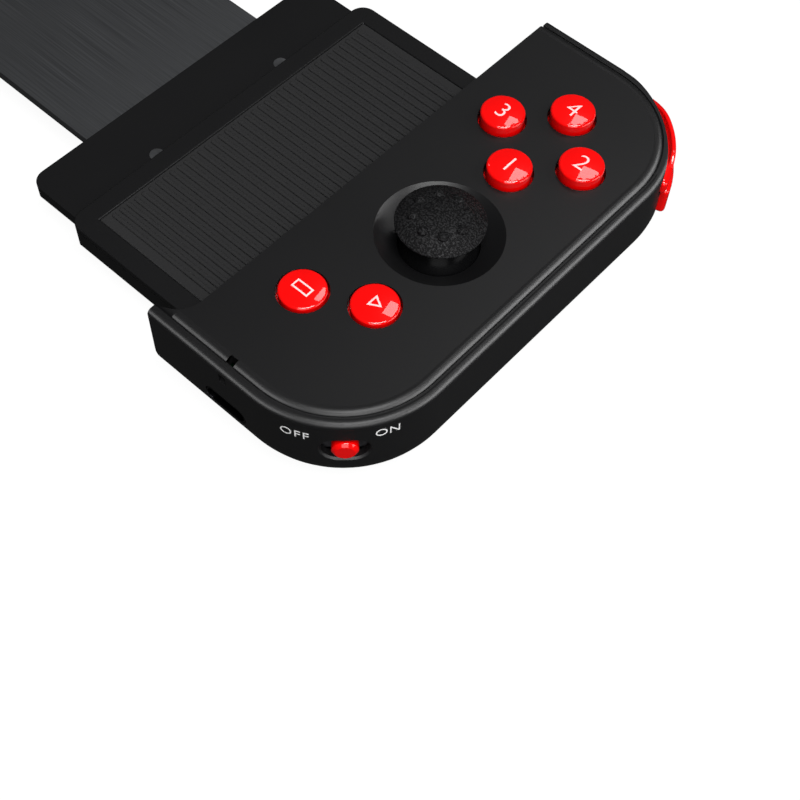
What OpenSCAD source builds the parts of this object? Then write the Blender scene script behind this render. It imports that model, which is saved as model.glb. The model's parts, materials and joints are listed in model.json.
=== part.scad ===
// Telescopic two-handed game controller for a phone held sideways.
// Every grip piece is drawn in the right grip's own frame: x = 0 on the inner wall that meets the
// phone and +x outwards, y = 0 at mid length with +y towards the shoulder buttons, z = 0 on the back.

/* [Grip] */
// Length of each grip, along the phone's short side
grip_len = 96; // [94:0.5:110]
// Width of each grip, outwards from the phone
grip_w = 39; // [38:0.5:46]
// Thickness of each grip, back face to front plate
grip_t = 20; // [19:0.5:26]
// Plan radius of the two outer corners
corner_r = 21; // [20.5:0.1:22]
// Rounding of the outer back edge
back_r = 9; // [5:0.5:10]
// Wall of the rear shell
wall = 1.6; // [1.2:0.1:2]
// Thickness of the front plate
plate_t = 2.2; // [1.8:0.1:2.8]
// Gap between the rear shell's rim and the front plate's edge
seam = 0.15; // [0.1:0.05:0.4]
// Drop of the rear shell's rim below the front plate
rim_drop = 0.4; // [0.2:0.05:0.8]
// Rounding of the rim's outer edge
rim_r = 1; // [0.6:0.1:1]
// Rounding of the front plate's edge
plate_edge_r = 1.2; // [0.6:0.1:1.4]
// Reach of the horn that cradles the phone's corner
horn = 5.2; // [3:0.1:6]
// Width of the horn's tip
horn_tip = 2; // [1.9:0.1:2.2]

/* [Buttons] */
// Distance from the inner wall to the stick and to the middle of the button group
stick_x = 18.5; // [18:0.1:19.5]
// Place of the stick along the grip
stick_y = -4.15; // [-5:0.05:-3.5]
// Distance from the grip's shoulder end to the middle of the button group
group_end = 25.35; // [24.5:0.05:26]
// Distance from the middle of the group to each button
group_r = 8.8; // [8.2:0.1:9.2]
// Diameter of a button of the group
button_d = 8; // [7.4:0.1:8.4]
// Height of a button's top above the front plate
button_rise = 2.2; // [1.6:0.1:3]
// Distance from the inner wall to the middle of the small pair
pair_x = 15.55; // [15:0.05:16]
// Distance from the grip's lower end to the middle of the small pair
pair_end = 22.55; // [22:0.05:23]
// Distance between the small pair's buttons
pair_pitch = 12; // [11.4:0.1:12.4]
// Slant of the small pair, in degrees
pair_tilt = 29.2; // [20:0.1:35]
// Diameter of a button of the small pair
pair_d = 8.2; // [7.4:0.1:8.4]
// Height of a small pair button's top above the front plate
pair_rise = 0.9; // [0.5:0.1:1.6]
// Radial gap between a button and its hole
button_gap = 0.4; // [0.2:0.05:0.5]
// Height of a button's domed top
button_dome = 0.35; // [0.2:0.05:0.6]

/* [Stick] */
// Radius of the dish round the stick, at the front plate
dish_r = 11.1; // [10.6:0.1:11.4]
// Radius of the hole at the bottom of the dish
dish_hole_r = 7.1; // [7.05:0.05:7.5]
// Depth of the dish
dish_depth = 2.8; // [2.4:0.1:3]
// Radius of the stick's cap
cap_r = 7.9; // [7.4:0.05:8.1]
// Height of the cap's rim above the front plate
cap_rim_h = 2.9; // [2.7:0.1:3.2]
// Height of the cap's dome above its rim
cap_dome = 2.4; // [2:0.1:3]
// Radius of the ring of grip bumps on the cap
bump_ring_r = 4.5; // [3.5:0.1:5]
// Number of grip bumps on the cap
bump_count = 8; // [6:1:10]
// Radius of a grip bump
bump_r = 0.8; // [0.6:0.05:0.9]
// Outside radius of the ball under the cap
skirt_r = 7.3; // [7.2:0.05:7.35]
// Wall of the ball under the cap
skirt_wall = 0.7; // [0.6:0.1:0.7]

/* [Shoulder] */
// Reach of the upper shoulder button past the grip's outline
bumper_out = 0.85; // [0.4:0.05:1.2]
// Reach of the lower shoulder trigger past the grip's outline
trigger_out = 1.4; // [1:0.1:2.4]
// Height of the upper shoulder button
bumper_h = 2.8; // [2.6:0.1:3]
// Height of the crest on the upper shoulder button
bumper_crest = 1.6; // [1:0.1:1.8]
// Height of the lower shoulder trigger
trigger_h = 5.9; // [5.4:0.1:6.2]
// Depth from the front plate to the top of the upper shoulder button
bumper_drop = 2.7; // [2.7:0.1:3]
// Depth from the front plate to the top of the lower shoulder trigger
trigger_drop = 6.1; // [6.1:0.1:6.5]
// Angle round the outer corner where the upper shoulder button ends
bumper_end = 15; // [12:1:16]
// Angle round the outer corner where the lower shoulder trigger ends
trigger_end = 19; // [17:1:21]
// Distance from the inner wall to where both shoulder pieces begin
shoulder_x = 8; // [7:0.5:12]
// Radius of the pin that both shoulder pieces turn on
pin_r = 1.2; // [0.8:0.1:1.4]

/* [Switch, port and strap] */
// Angle of the power switch round the lower outer corner
switch_angle = -46; // [-50:1:-40]
// Depth from the front plate to the middle of the power switch
switch_drop = 7.7; // [7:0.1:8.2]
// Length of the power switch's recess
switch_l = 7.9; // [7:0.1:9]
// Height of the power switch's recess
switch_h = 5.4; // [4.6:0.1:5.6]
// Width of the sliding knob
knob_w = 4.4; // [3.6:0.1:4.6]
// Height of the sliding knob
knob_h = 4.4; // [3.6:0.1:4.4]
// Reach of the knob past the grip's outline
knob_out = 0.5; // [0.2:0.1:1]
// Distance from the inner wall to the middle of the charging port
port_x = 11.6; // [10.6:0.1:12.6]
// Width of the charging port's shell
port_w = 8.9; // [8.9:0.1:9.2]
// Height of the charging port's shell
port_h = 3.2; // [3.2:0.05:3.4]
// Length of the charging port's shell
port_l = 7.3; // [6.5:0.1:8]
// Distance from the inner wall to the middle of the strap slot
strap_x = 11.7; // [10.5:0.1:12.5]
// Width of the strap slot
strap_w = 1.6; // [1.2:0.1:2]

/* [Phone bay] */
// Distance between the grips' inner walls
bay_len = 160; // [150:1:165]
// Place of the middle of the phone along the grip
bay_y = -2.8; // [-3:0.05:-2]
// Depth from the front plate to the back of the phone
bay_depth = 9.5; // [9:0.1:10.5]
// Width of the tray behind the phone
tray_w = 75.8; // [70:0.2:76]
// Reach of the tray from the grip
tray_l = 35.5; // [34:0.5:40]
// Wall of the tray's sides
tray_wall = 1; // [0.8:0.1:1.2]
// Thickness of the tray's floor
tray_floor = 2; // [1.5:0.1:2.5]
// Rounding of the tray's lower edges
tray_r = 3; // [1.5:0.1:3]
// Thickness of the tray's cover
cover_t = 1.2; // [1:0.1:1.6]
// Thickness of the slider that runs in the tray
head_t = 3.5; // [3.2:0.1:4]
// Reach of the slider out of the tray, with the phone in
head_out = 13; // [12:0.5:15]
// Length of the slider
head_l = 28; // [27:0.5:30]
// Running gap round the slider
slide_gap = 0.3; // [0.2:0.05:0.4]
// Step in the tray's mouth that stops the slider
stop_step = 0.7; // [0.5:0.05:0.9]
// Width of the steel bar that joins the two sliders
bar_w = 44; // [36:1:48]
// Thickness of the steel bar
bar_t = 1.9; // [1.5:0.1:2]

/* [Inside] */
// Depth from the underside of the front plate to the back of the circuit board
board_drop = 6.6; // [6.4:0.1:6.8]
// Thickness of the circuit board
board_t = 1.2; // [1:0.1:1.2]
// Length of the battery
battery_l = 41; // [30:1:41]
// Width of the battery
battery_w = 14; // [10:0.5:14.5]
// Thickness of the battery
battery_t = 5.5; // [4:0.1:6]
// Radius of a screw's shank
screw_r = 1; // [0.8:0.05:1.1]
// Radius of a screw's head
screw_head_r = 1.9; // [1.7:0.05:2]

/* [Hidden] */
$fn = 64;
cut = 1;
touch_gap = 0.05;
run_gap = 0.05;
free_gap = 0.35;

half_len = grip_len / 2;
centre_x = grip_w - corner_r;
centre_y = half_len - corner_r;
seat_z = grip_t - plate_t;
rim_z = grip_t - rim_drop;
plate_in = wall + seam;
y_shift = -trigger_out / 2;
group_y = half_len - group_end;
pair_y = pair_end - half_len;

flange_t = 1.2;
flange_lip = 1;
flange_z = seat_z - touch_gap - flange_t;
board_z = seat_z - board_drop;
board_top = board_z + board_t;
sheet_t = 0.8;
board_in = 9.5;
board_side_in = 5;
board_x = wall + 1.4;
board_reach = 14;

pivot_z = seat_z - 3.4;
module_half = 4.4;
module_wall = 0.8;
module_h = 3.4;
ring_out = 3.2;
ring_in = 2.2;
ring_h = 1.8;
axle_r = 0.5;
stem_r = 1.5;
neck_r = 3;
skirt_low = 1.6;
bump_sink = 0.35;
cap_z = grip_t + 2;
dish_lip = 0.7;

group_sides = [[0, -1], [1, 0], [-1, 0], [0, 1]];
group_spots = [for (s = group_sides) [stick_x, group_y] + group_r * s];
pair_spots = [for (s = [-1, 1])
  [pair_x, pair_y] + s * pair_pitch / 2 * [cos(pair_tilt), sin(pair_tilt)]];
screw_in = 6.5;
screw_out = 8;
screw_top = 15;
screw_bottom = 18;
screw_mid = [27, 8.5];
screw_low = -18;
screw_spots = [[screw_in, half_len - screw_top], screw_mid, [screw_in, screw_low],
  [centre_x + screw_out, screw_bottom - half_len]];
boss_r = 3.2;
post_r = 2.3;
counterbore = 2.2;
screw_head_h = 1.5;
screw_head_z = 0.5;

bumper_z = grip_t - bumper_drop - bumper_h;
trigger_z = grip_t - trigger_drop - trigger_h;
shoulder_depth = 2.8;
shoulder_room = 5.2;
shoulder_edge_r = 0.8;
eye_angle = 27;
eye_r = 2.8;
eye_at = corner_r - wall - 3.8;
eye = [centre_x + eye_at * cos(eye_angle), centre_y + eye_at * sin(eye_angle)];
web_w = 4;
web_in = 0.5;
end_room = 2;
pin_boss_r = pin_r + 1.2;
pin_boss_out = max(0, eye_at + pin_boss_r - corner_r + back_r);
pin_boss_z = back_r - sqrt(back_r * back_r - pin_boss_out * pin_boss_out) + 0.2;
pin_socket = pin_boss_z + 1;
coil_t = 0.4;
lip_t = 0.5;
lip_from = bumper_end - end_room + 1;
lip_to = 88;
crest_from = 26;
crest_to = 71;
crest_in = 0.1;
crest_edge_r = 0.4;

switch_z = grip_t - switch_drop;
switch_body_l = switch_l + 2;
switch_reach = corner_r - wall - touch_gap;
switch_face = sqrt(switch_reach * switch_reach - switch_body_l * switch_body_l / 4);
switch_back = corner_r - board_in + 0.1;
knob_neck = 1.6;
knob_neck_l = 1.2;
knob_travel = 1.2;
port_z = board_z - port_h;
port_wall = 0.3;
port_tongue_t = 0.7;
strap_top = grip_t - 1.8;
strap_bottom = grip_t - 3.8;
strap_in = 3.2;

bay_z = grip_t - bay_depth;
pad_proud = 0.2;
pad_t = 0.8;
cover_top = bay_z - pad_proud;
cover_z = cover_top - cover_t;
head_top = cover_z - slide_gap;
head_z = head_top - head_t;
trough_z = head_z - slide_gap;
tray_z = trough_z - tray_floor;
tray_end = 2.4;
tray_corner_r = 3;
trough_w = tray_w - 2 * tray_wall;
mouth_w = trough_w - 2 * stop_step;
head_w = mouth_w - 2 * slide_gap;
mouth_l = 2.5;
lug_l = 3;
head_x = -tray_l - head_out;
head_in = head_x + head_l;
bar_short = 5.5;
bar_in = head_in - bar_short;
bar_z = head_z + (head_t - bar_t) / 2;
spring_r = 1.2;
spring_side = 6;
spring_in = 4.5;
spring_y = head_w / 2 - spring_side;
spring_x = head_x + spring_in;
rivet_r = 1.4;
rivet_in = 12;
rivet_side = 6;
rivet_spots = [for (s = [-1, 1]) [head_x + rivet_in, s * (bar_w / 2 - rivet_side)]];
tray_screw_y = 20;
tray_screw_l = 6;
wall_pad_t = 1;
pad_margin = 9;

shell_black = "#1d1d1f";
gloss_red = "#e00505";
rubber_black = "#141416";
board_green = "#14532d";
steel = "#a8abb0";
silicone = "#d8d6cf";

module right() { translate([bay_len / 2, y_shift, 0]) children(); }
module left() { mirror([1, 0, 0]) right() children(); }

// Cuts a square outer corner of a section to a round one; drawn at the round's centre
module round_off(r) {
  difference() {
    square(r + cut);
    circle(r);
  }
}

// Sweeps a section (distance out from the corner centres, height) round the grip's three outer sides
module wrap(start_x) {
  translate([centre_x, centre_y, 0]) rotate([90, 0, 0]) linear_extrude(2 * centre_y) children();
  for (side = [0, 1]) mirror([0, side, 0]) translate([0, centre_y, 0]) {
    translate([centre_x, 0, 0]) rotate_extrude(angle = 90) children();
    translate([start_x, 0, 0]) rotate([90, 0, 90]) linear_extrude(centre_x - start_x) children();
  }
}

// Fills the block between the corner centres
module middle(start_x, z0, z1) {
  translate([start_x, -centre_y, z0]) cube([centre_x - start_x, 2 * centre_y, z1 - z0]);
}

// Continues a section past the inner wall as the horn round the phone's corner
module horn_piece() {
  horn_y = horn_tip + horn;
  difference() {
    intersection() {
      mirror([0, 1, 0]) translate([-horn, centre_y, 0])
        rotate([90, 0, 90]) linear_extrude(horn) children();
      translate([-horn, -half_len, 0]) cube([horn, horn_y, grip_t]);
    }
    translate([-horn, horn_y - half_len, -cut]) cylinder(r = horn, h = grip_t + 2 * cut);
  }
}

module shell_section() {
  difference() {
    union() {
      square([corner_r, seat_z]);
      translate([corner_r - wall, 0]) square([wall, rim_z]);
    }
    translate([corner_r - rim_r, rim_z - rim_r]) round_off(rim_r);
    translate([corner_r - back_r, back_r]) mirror([0, 1]) round_off(back_r);
  }
}

module cavity_section() {
  difference() {
    translate([0, wall]) square([corner_r - wall, grip_t]);
    translate([corner_r - back_r, back_r]) mirror([0, 1]) round_off(back_r - wall);
  }
}

module plate_section() {
  difference() {
    translate([0, seat_z]) square([corner_r - plate_in, plate_t]);
    translate([corner_r - plate_in - plate_edge_r, grip_t - plate_edge_r]) round_off(plate_edge_r);
  }
}

// Window in the shell's corner wall for a shoulder piece, between two heights
module shoulder_window(z0, z1, end_angle) {
  inner = corner_r - shoulder_room;
  translate([centre_x, centre_y, z0]) {
    rotate([0, 0, end_angle - end_room]) rotate_extrude(angle = 90 - end_angle + end_room)
      translate([inner, 0]) square([shoulder_room + cut, z1 - z0]);
    translate([shoulder_x - end_room - centre_x, inner, 0])
      cube([centre_x - shoulder_x + end_room + cut, shoulder_room + cut, z1 - z0]);
  }
}

// Takes the outer part of the rim off above the bumper along a flatter arc, so that a thin lip stays
module lip_cut() {
  half = (lip_to - lip_from) / 2;
  reach = corner_r * sin(half);
  sag = corner_r * (1 - cos(half)) - wall + lip_t;
  lip_r = (reach * reach + sag * sag) / (2 * sag);
  shift = corner_r * cos(half) + sag - lip_r;
  translate([centre_x, centre_y, bumper_z + bumper_h]) difference() {
    cube([corner_r + cut, corner_r + cut, bumper_drop + cut]);
    rotate([0, 0, lip_from + half]) translate([shift, 0, -cut])
      cylinder(r = lip_r, h = bumper_drop + 3 * cut);
  }
}

// Places children on the power switch: +x out of the wall, y along it
module at_switch() {
  translate([centre_x, -centre_y, switch_z]) rotate([0, 0, switch_angle]) children();
}

module slot_bar(l, h, x0, x1) {
  translate([x0, 0, 0]) rotate([90, 0, 90]) linear_extrude(x1 - x0) {
    square([l - h, h], center = true);
    for (s = [-1, 1]) translate([s * (l - h) / 2, 0]) circle(h / 2);
  }
}

module port_outline(w, h) {
  square([w - h, h], center = true);
  for (s = [-1, 1]) translate([s * (w - h) / 2, 0]) circle(h / 2);
}

module rear_shell(main) {
  color(shell_black) difference() {
    union() {
      difference() {
        union() {
          wrap(0) shell_section();
          middle(0, 0, seat_z);
          horn_piece() shell_section();
        }
        wrap(wall) cavity_section();
        middle(wall, wall, grip_t);
      }
      for (p = screw_spots) translate(p) cylinder(r = boss_r, h = board_z);
      translate([eye.x, eye.y, pin_boss_z])
        cylinder(r = pin_boss_r, h = trigger_z - 2 * touch_gap - pin_boss_z);
      for (s = [-1, 1]) translate([wall - touch_gap, bay_y + s * tray_screw_y, (head_z + head_top) / 2])
        rotate([0, 90, 0]) cylinder(r = screw_r + 1.2, h = tray_screw_l - wall);
    }
    for (p = screw_spots) translate(p) {
      translate([0, 0, -cut]) cylinder(r = screw_head_r + 0.3, h = counterbore + cut);
      cylinder(r = screw_r + 0.3, h = board_z + cut);
    }
    translate([eye.x, eye.y, pin_socket]) cylinder(r = pin_r + run_gap, h = grip_t);
    for (s = [-1, 1]) translate([-cut, bay_y + s * tray_screw_y, (head_z + head_top) / 2])
      rotate([0, 90, 0]) cylinder(r = screw_r + run_gap, h = tray_screw_l + cut);
    shoulder_window(bumper_z - free_gap, bumper_z + bumper_h + free_gap, bumper_end);
    shoulder_window(trigger_z - free_gap, bumper_z, trigger_end);
    lip_cut();
    translate([strap_x - strap_w / 2, -half_len - cut, strap_bottom])
      cube([strap_w, wall + 2 * cut, strap_top - strap_bottom]);
    if (main) {
      at_switch() slot_bar(switch_l, switch_h, corner_r - wall - cut, corner_r + cut);
      translate([port_x, -half_len - cut, port_z + port_h / 2]) rotate([-90, 0, 0])
        linear_extrude(wall + 2 * cut) port_outline(port_w + 0.4, port_h + 0.4);
    }
  }
}

module front_plate() {
  color(shell_black) difference() {
    union() {
      wrap(0) plate_section();
      middle(0, seat_z, grip_t);
      horn_piece() plate_section();
      for (p = screw_spots) translate([p.x, p.y, board_top]) cylinder(r = post_r, h = seat_z - board_top);
      translate([stick_x, stick_y, grip_t - dish_depth - dish_lip])
        cylinder(r1 = dish_hole_r + 1.1, r2 = dish_r + 0.3, h = dish_depth + dish_lip - plate_t);
    }
    for (p = screw_spots) translate([p.x, p.y, board_top - cut])
      cylinder(r = screw_r + run_gap, h = seat_z - board_top);
    for (p = group_spots) translate([p.x, p.y, seat_z - cut])
      cylinder(r = button_d / 2 + button_gap, h = plate_t + 2 * cut);
    for (p = pair_spots) translate([p.x, p.y, seat_z - cut])
      cylinder(r = pair_d / 2 + button_gap, h = plate_t + 2 * cut);
    translate([stick_x, stick_y, 0]) {
      cylinder(r = dish_hole_r, h = grip_t + cut);
      translate([0, 0, grip_t - dish_depth])
        cylinder(r1 = dish_hole_r, r2 = dish_r, h = dish_depth);
    }
    translate([strap_x - strap_w / 2, -half_len, seat_z - cut])
      cube([strap_w, strap_in, plate_t + 2 * cut]);
  }
}

module screws() {
  shank_l = 15;
  color(steel) {
    for (p = screw_spots) translate([p.x, p.y, screw_head_z]) {
      cylinder(r = screw_head_r, h = counterbore - screw_head_z);
      cylinder(r = screw_r, h = shank_l);
    }
    for (s = [-1, 1]) translate([-tray_end, bay_y + s * tray_screw_y, (head_z + head_top) / 2])
      rotate([0, 90, 0]) {
        translate([0, 0, -screw_head_h]) cylinder(r = screw_head_r - 0.3, h = screw_head_h);
        cylinder(r = screw_r, h = tray_end + tray_screw_l - cut);
      }
  }
}

module board_shape(main) {
  board_r = corner_r - board_in;
  translate([board_x, -centre_y - board_r]) square([centre_x - board_x, 2 * (centre_y + board_r)]);
  translate([board_x, -centre_y]) square([grip_w - board_in - board_x, 2 * centre_y]);
  translate([board_x, stick_y - board_reach])
    square([grip_w - board_side_in - board_x, centre_y - stick_y + board_reach]);
  for (s = [-1, 1]) translate([centre_x, s * centre_y]) circle(board_r);
  if (main) translate([port_x - port_w / 2 - 0.5, wall + 0.4 - half_len])
    square([port_w + 1, board_in]);
}

module board(main) {
  color(board_green) translate([0, 0, board_z]) linear_extrude(board_t) difference() {
    board_shape(main);
    for (p = screw_spots) translate(p) circle(screw_r + 0.3);
  }
}

module battery_pack() {
  color("#8f949c") translate([screw_spots[0].x + 1.8, screw_spots[2].y + boss_r + 0.6, wall])
    cube([battery_w, battery_l, battery_t]);
}

module port_shell() {
  depth = port_l - 0.8;
  color(steel) translate([port_x, -half_len + touch_gap, port_z + port_h / 2]) rotate([-90, 0, 0]) {
    difference() {
      linear_extrude(port_l) port_outline(port_w, port_h);
      translate([0, 0, -cut]) linear_extrude(depth + cut)
        port_outline(port_w - 2 * port_wall, port_h - 2 * port_wall);
    }
    translate([-port_w / 2 + 1.2, -port_tongue_t / 2, 1])
      cube([port_w - 2.4, port_tongue_t, depth - 0.9]);
  }
}

module switch_body() {
  neck_room = knob_travel + 0.4;
  color("#2b2b2e") at_switch() difference() {
    translate([switch_back, -switch_body_l / 2, -switch_h / 2])
      cube([switch_face - switch_back, switch_body_l, switch_h]);
    slot_bar(knob_neck + 2 * neck_room, knob_neck + 0.6, switch_face - knob_neck_l - 0.4,
      switch_face + cut);
  }
}

module switch_knob() {
  knob_r = 1.8;
  color(gloss_red) at_switch() {
    translate([switch_face + free_gap, 0, 0]) rotate([90, 0, 90])
      linear_extrude(corner_r + knob_out - switch_face - free_gap) {
        square([knob_w - 2 * knob_r, knob_h], center = true);
        square([knob_w, knob_h - 2 * knob_r], center = true);
        for (sx = [-1, 1], sy = [-1, 1])
          translate([sx * (knob_w / 2 - knob_r), sy * (knob_h / 2 - knob_r)]) circle(knob_r);
      }
    translate([switch_face - knob_neck_l, 0, 0]) rotate([0, 90, 0])
      cylinder(r = knob_neck / 2, h = knob_neck_l + free_gap + touch_gap);
  }
}

// Round button with a flange under the front plate and a low dome on top
module button(p, d, rise) {
  r = d / 2;
  top = grip_t + rise;
  dome_r = (r * r + button_dome * button_dome) / (2 * button_dome);
  edge_r = 0.5;
  color(gloss_red) translate([p.x, p.y, 0]) {
    translate([0, 0, flange_z]) cylinder(r = r + flange_lip, h = flange_t);
    rotate_extrude() difference() {
      intersection() {
        translate([0, flange_z]) square([r, top - flange_z]);
        translate([0, top - dome_r]) circle(dome_r, $fn = 360);
      }
      translate([r - edge_r, top - button_dome - edge_r]) round_off(edge_r);
    }
  }
}

// Silicone sheet on the board with a dome under each button
module membrane(spots, r) {
  middle_spot = (spots[0] + spots[len(spots) - 1]) / 2;
  color(silicone) {
    translate([0, 0, board_top]) linear_extrude(sheet_t) for (p = spots) {
      translate(p) circle(r + 0.8);
      translate(middle_spot) rotate(atan2(p.y - middle_spot.y, p.x - middle_spot.x))
        translate([0, -2]) square([norm(p - middle_spot), 4]);
    }
    for (p = spots) translate([p.x, p.y, board_top + sheet_t])
      cylinder(r1 = r - 0.6, r2 = r - 1.8, h = flange_z - touch_gap - board_top - sheet_t);
  }
}

module stick_base() {
  inside = module_half - module_wall;
  color("#3a3a3d") translate([stick_x, stick_y, board_top]) difference() {
    translate([-module_half, -module_half, 0]) cube([2 * module_half, 2 * module_half, module_h]);
    translate([-inside, -inside, -cut]) cube([2 * inside, 2 * inside, module_h + 2 * cut]);
    translate([-module_half - cut, 0, pivot_z - board_top]) rotate([0, 90, 0])
      cylinder(r = axle_r + run_gap, h = 2 * (module_half + cut));
  }
}

module stick_gimbal() {
  color("#55555a") translate([stick_x, stick_y, pivot_z]) {
    difference() {
      translate([-ring_out, -ring_out, -ring_h / 2]) cube([2 * ring_out, 2 * ring_out, ring_h]);
      translate([-ring_in, -ring_in, -ring_h]) cube([2 * ring_in, 2 * ring_in, 2 * ring_h]);
      translate([0, ring_out + cut, 0]) rotate([90, 0, 0])
        cylinder(r = axle_r + run_gap, h = 2 * (ring_out + cut));
    }
    for (s = [0, 180]) rotate([0, 0, s]) translate([ring_out - 0.2, 0, 0]) rotate([0, 90, 0])
      cylinder(r = axle_r, h = module_half - ring_out + 0.1);
  }
}

module stick_stem() {
  top = cap_z - pivot_z;
  color(rubber_black) translate([stick_x, stick_y, pivot_z]) {
    rotate_extrude() {
      intersection() {
        difference() {
          circle(skirt_r);
          circle(skirt_r - skirt_wall);
        }
        translate([0, skirt_low]) square([skirt_r + cut, skirt_r]);
      }
      translate([0, skirt_r - 1]) square([neck_r, top - skirt_r + 1]);
      translate([0, -ring_h / 2]) square([stem_r, top + ring_h / 2]);
    }
    translate([0, ring_out - 0.2, 0]) rotate([90, 0, 0]) cylinder(r = axle_r, h = 2 * (ring_out - 0.2));
  }
}

module stick_cap() {
  rim = grip_t + cap_rim_h;
  dome_r = (cap_r * cap_r + cap_dome * cap_dome) / (2 * cap_dome);
  dome_z = rim + cap_dome - dome_r;
  color(rubber_black) translate([stick_x, stick_y, 0]) {
    rotate_extrude() {
      intersection() {
        translate([0, dome_z]) circle(dome_r);
        translate([0, rim]) square([cap_r, cap_dome + cut]);
      }
      polygon([[0, cap_z], [cap_r - 1, cap_z], [cap_r, rim], [0, rim]]);
    }
    for (k = [0 : bump_count - 1]) rotate([0, 0, k * 360 / bump_count])
      translate([bump_ring_r, 0, dome_z + sqrt(dome_r * dome_r - bump_ring_r * bump_ring_r) - bump_sink])
        sphere(bump_r);
  }
}

// Shoulder piece: a band round the outer corner with an eye on the shared pin
module shoulder_piece(z, h, out, end_angle) {
  inner = corner_r - shoulder_depth;
  translate([centre_x, centre_y, z]) difference() {
    union() {
      difference() {
        rotate_extrude(angle = 90) shoulder_section(inner, out, h);
        rotate([0, 0, end_angle]) translate([0, -grip_w, -cut]) cube([grip_w, grip_w, h + 2 * cut]);
      }
      translate([shoulder_x - centre_x, 0, 0]) rotate([90, 0, 90])
        linear_extrude(centre_x - shoulder_x) shoulder_section(inner, out, h);
      rotate([0, 0, eye_angle]) translate([eye_at, -web_w / 2, web_in])
        cube([inner + shoulder_depth / 3 - eye_at, web_w, h - 2 * web_in]);
      translate(eye - [centre_x, centre_y]) cylinder(r = eye_r, h = h);
    }
    translate(eye - [centre_x, centre_y]) translate([0, 0, -cut])
      cylinder(r = pin_r + run_gap, h = h + 2 * cut);
  }
}

module shoulder_section(inner, out, h) {
  e = shoulder_edge_r;
  difference() {
    translate([inner, 0]) square([corner_r + out - inner, h]);
    translate([corner_r + out - e, h - e]) round_off(e);
    translate([corner_r + out - e, e]) mirror([0, 1]) round_off(e);
  }
}

// Section of the crest that rises from the bumper outside the rim's lip
module crest_section() {
  e = crest_edge_r;
  difference() {
    translate([corner_r - crest_in, 0]) square([bumper_out, bumper_crest + cut]);
    translate([corner_r + bumper_out - crest_in - e, bumper_crest + cut - e]) round_off(e);
  }
}

module bumper() {
  color(gloss_red) {
    shoulder_piece(bumper_z, bumper_h, bumper_out, bumper_end);
    translate([centre_x, centre_y, bumper_z + bumper_h - cut]) rotate([0, 0, crest_from])
      rotate_extrude(angle = crest_to - crest_from) crest_section();
  }
}

module trigger() { color(gloss_red) shoulder_piece(trigger_z, trigger_h, trigger_out, trigger_end); }

module shoulder_pin() {
  color(steel) translate([eye.x, eye.y, pin_socket])
    cylinder(r = pin_r, h = seat_z - touch_gap - pin_socket);
}

module shoulder_springs() {
  color(steel) for (top = [seat_z - touch_gap, bumper_z - touch_gap])
    translate([eye.x, eye.y, top - coil_t]) difference() {
      cylinder(r = pin_r + 1.2, h = coil_t);
      translate([0, 0, -cut]) cylinder(r = pin_r + run_gap, h = coil_t + 2 * cut);
    }
}

module tray_outline(w, x0) {
  r = tray_corner_r;
  difference() {
    translate([x0, -w / 2]) square([-x0, w]);
    for (s = [0, 1]) mirror([0, s]) translate([x0 + r, w / 2 - r]) mirror([1, 0]) round_off(r);
  }
}

module tray() {
  color(shell_black) translate([0, bay_y, 0]) difference() {
    intersection() {
      translate([0, 0, tray_z]) linear_extrude(cover_z - tray_z) tray_outline(tray_w, -tray_l);
      translate([-tray_l - cut, 0, tray_z]) rotate([90, 0, 90]) linear_extrude(tray_l + 2 * cut)
        difference() {
          translate([-tray_w / 2, 0]) square([tray_w, grip_t]);
          for (s = [0, 1]) mirror([s, 0]) translate([tray_w / 2 - tray_r, tray_r])
            mirror([0, 1]) round_off(tray_r);
        }
    }
    translate([-tray_l + mouth_l, -trough_w / 2, trough_z])
      cube([tray_l - mouth_l - tray_end, trough_w, grip_t]);
    translate([-tray_l - cut, -mouth_w / 2, trough_z]) cube([mouth_l + 2 * cut, mouth_w, grip_t]);
    for (s = [-1, 1]) translate([-tray_end - cut, s * tray_screw_y, (head_z + head_top) / 2])
      rotate([0, 90, 0]) cylinder(r = screw_r + run_gap, h = tray_end + 2 * cut);
  }
}

module pad_square(margin) {
  translate([-tray_l + margin, margin - tray_w / 2]) square([tray_l - margin - 3, tray_w - 2 * margin]);
}

module tray_cover() {
  color(shell_black) translate([0, bay_y, cover_z]) difference() {
    linear_extrude(cover_t) tray_outline(tray_w, -tray_l);
    translate([0, 0, cover_t - pad_t + pad_proud]) linear_extrude(pad_t) pad_square(4);
  }
}

module tray_pad() {
  color(rubber_black) translate([0, bay_y, bay_z - pad_t]) linear_extrude(pad_t) pad_square(4 + touch_gap);
}

module wall_pad() {
  color(rubber_black) translate([-wall_pad_t, bay_y - tray_w / 2 + pad_margin, bay_z + 1])
    cube([wall_pad_t, tray_w - 2 * pad_margin, seat_z - bay_z - 2]);
}

module slider() {
  lug_w = trough_w - 2 * slide_gap;
  edge = 1.2;
  color(shell_black) translate([0, bay_y, 0]) difference() {
    union() {
      intersection() {
        translate([head_in, 0, head_z]) linear_extrude(head_t) tray_outline(head_w, -head_l);
        translate([head_x - cut, 0, head_z]) rotate([90, 0, 90]) linear_extrude(head_l + 2 * cut)
          difference() {
            translate([-head_w / 2, 0]) square([head_w, head_t]);
            for (s = [0, 1]) mirror([s, 0]) translate([head_w / 2 - edge, edge])
              mirror([0, 1]) round_off(edge);
          }
      }
      translate([head_in - lug_l, -lug_w / 2, head_z + edge]) cube([lug_l, lug_w, head_t - edge]);
    }
    translate([head_x - cut, -bar_w / 2, bar_z]) cube([bar_in - head_x + cut, bar_w, bar_t]);
    for (p = rivet_spots) translate([p.x, p.y, 0]) cylinder(r = rivet_r, h = grip_t);
    for (s = [-1, 1]) translate([spring_x, s * spring_y, (head_z + head_top) / 2]) rotate([0, 90, 0])
      cylinder(r = spring_r + 0.4, h = head_l);
  }
}

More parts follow.
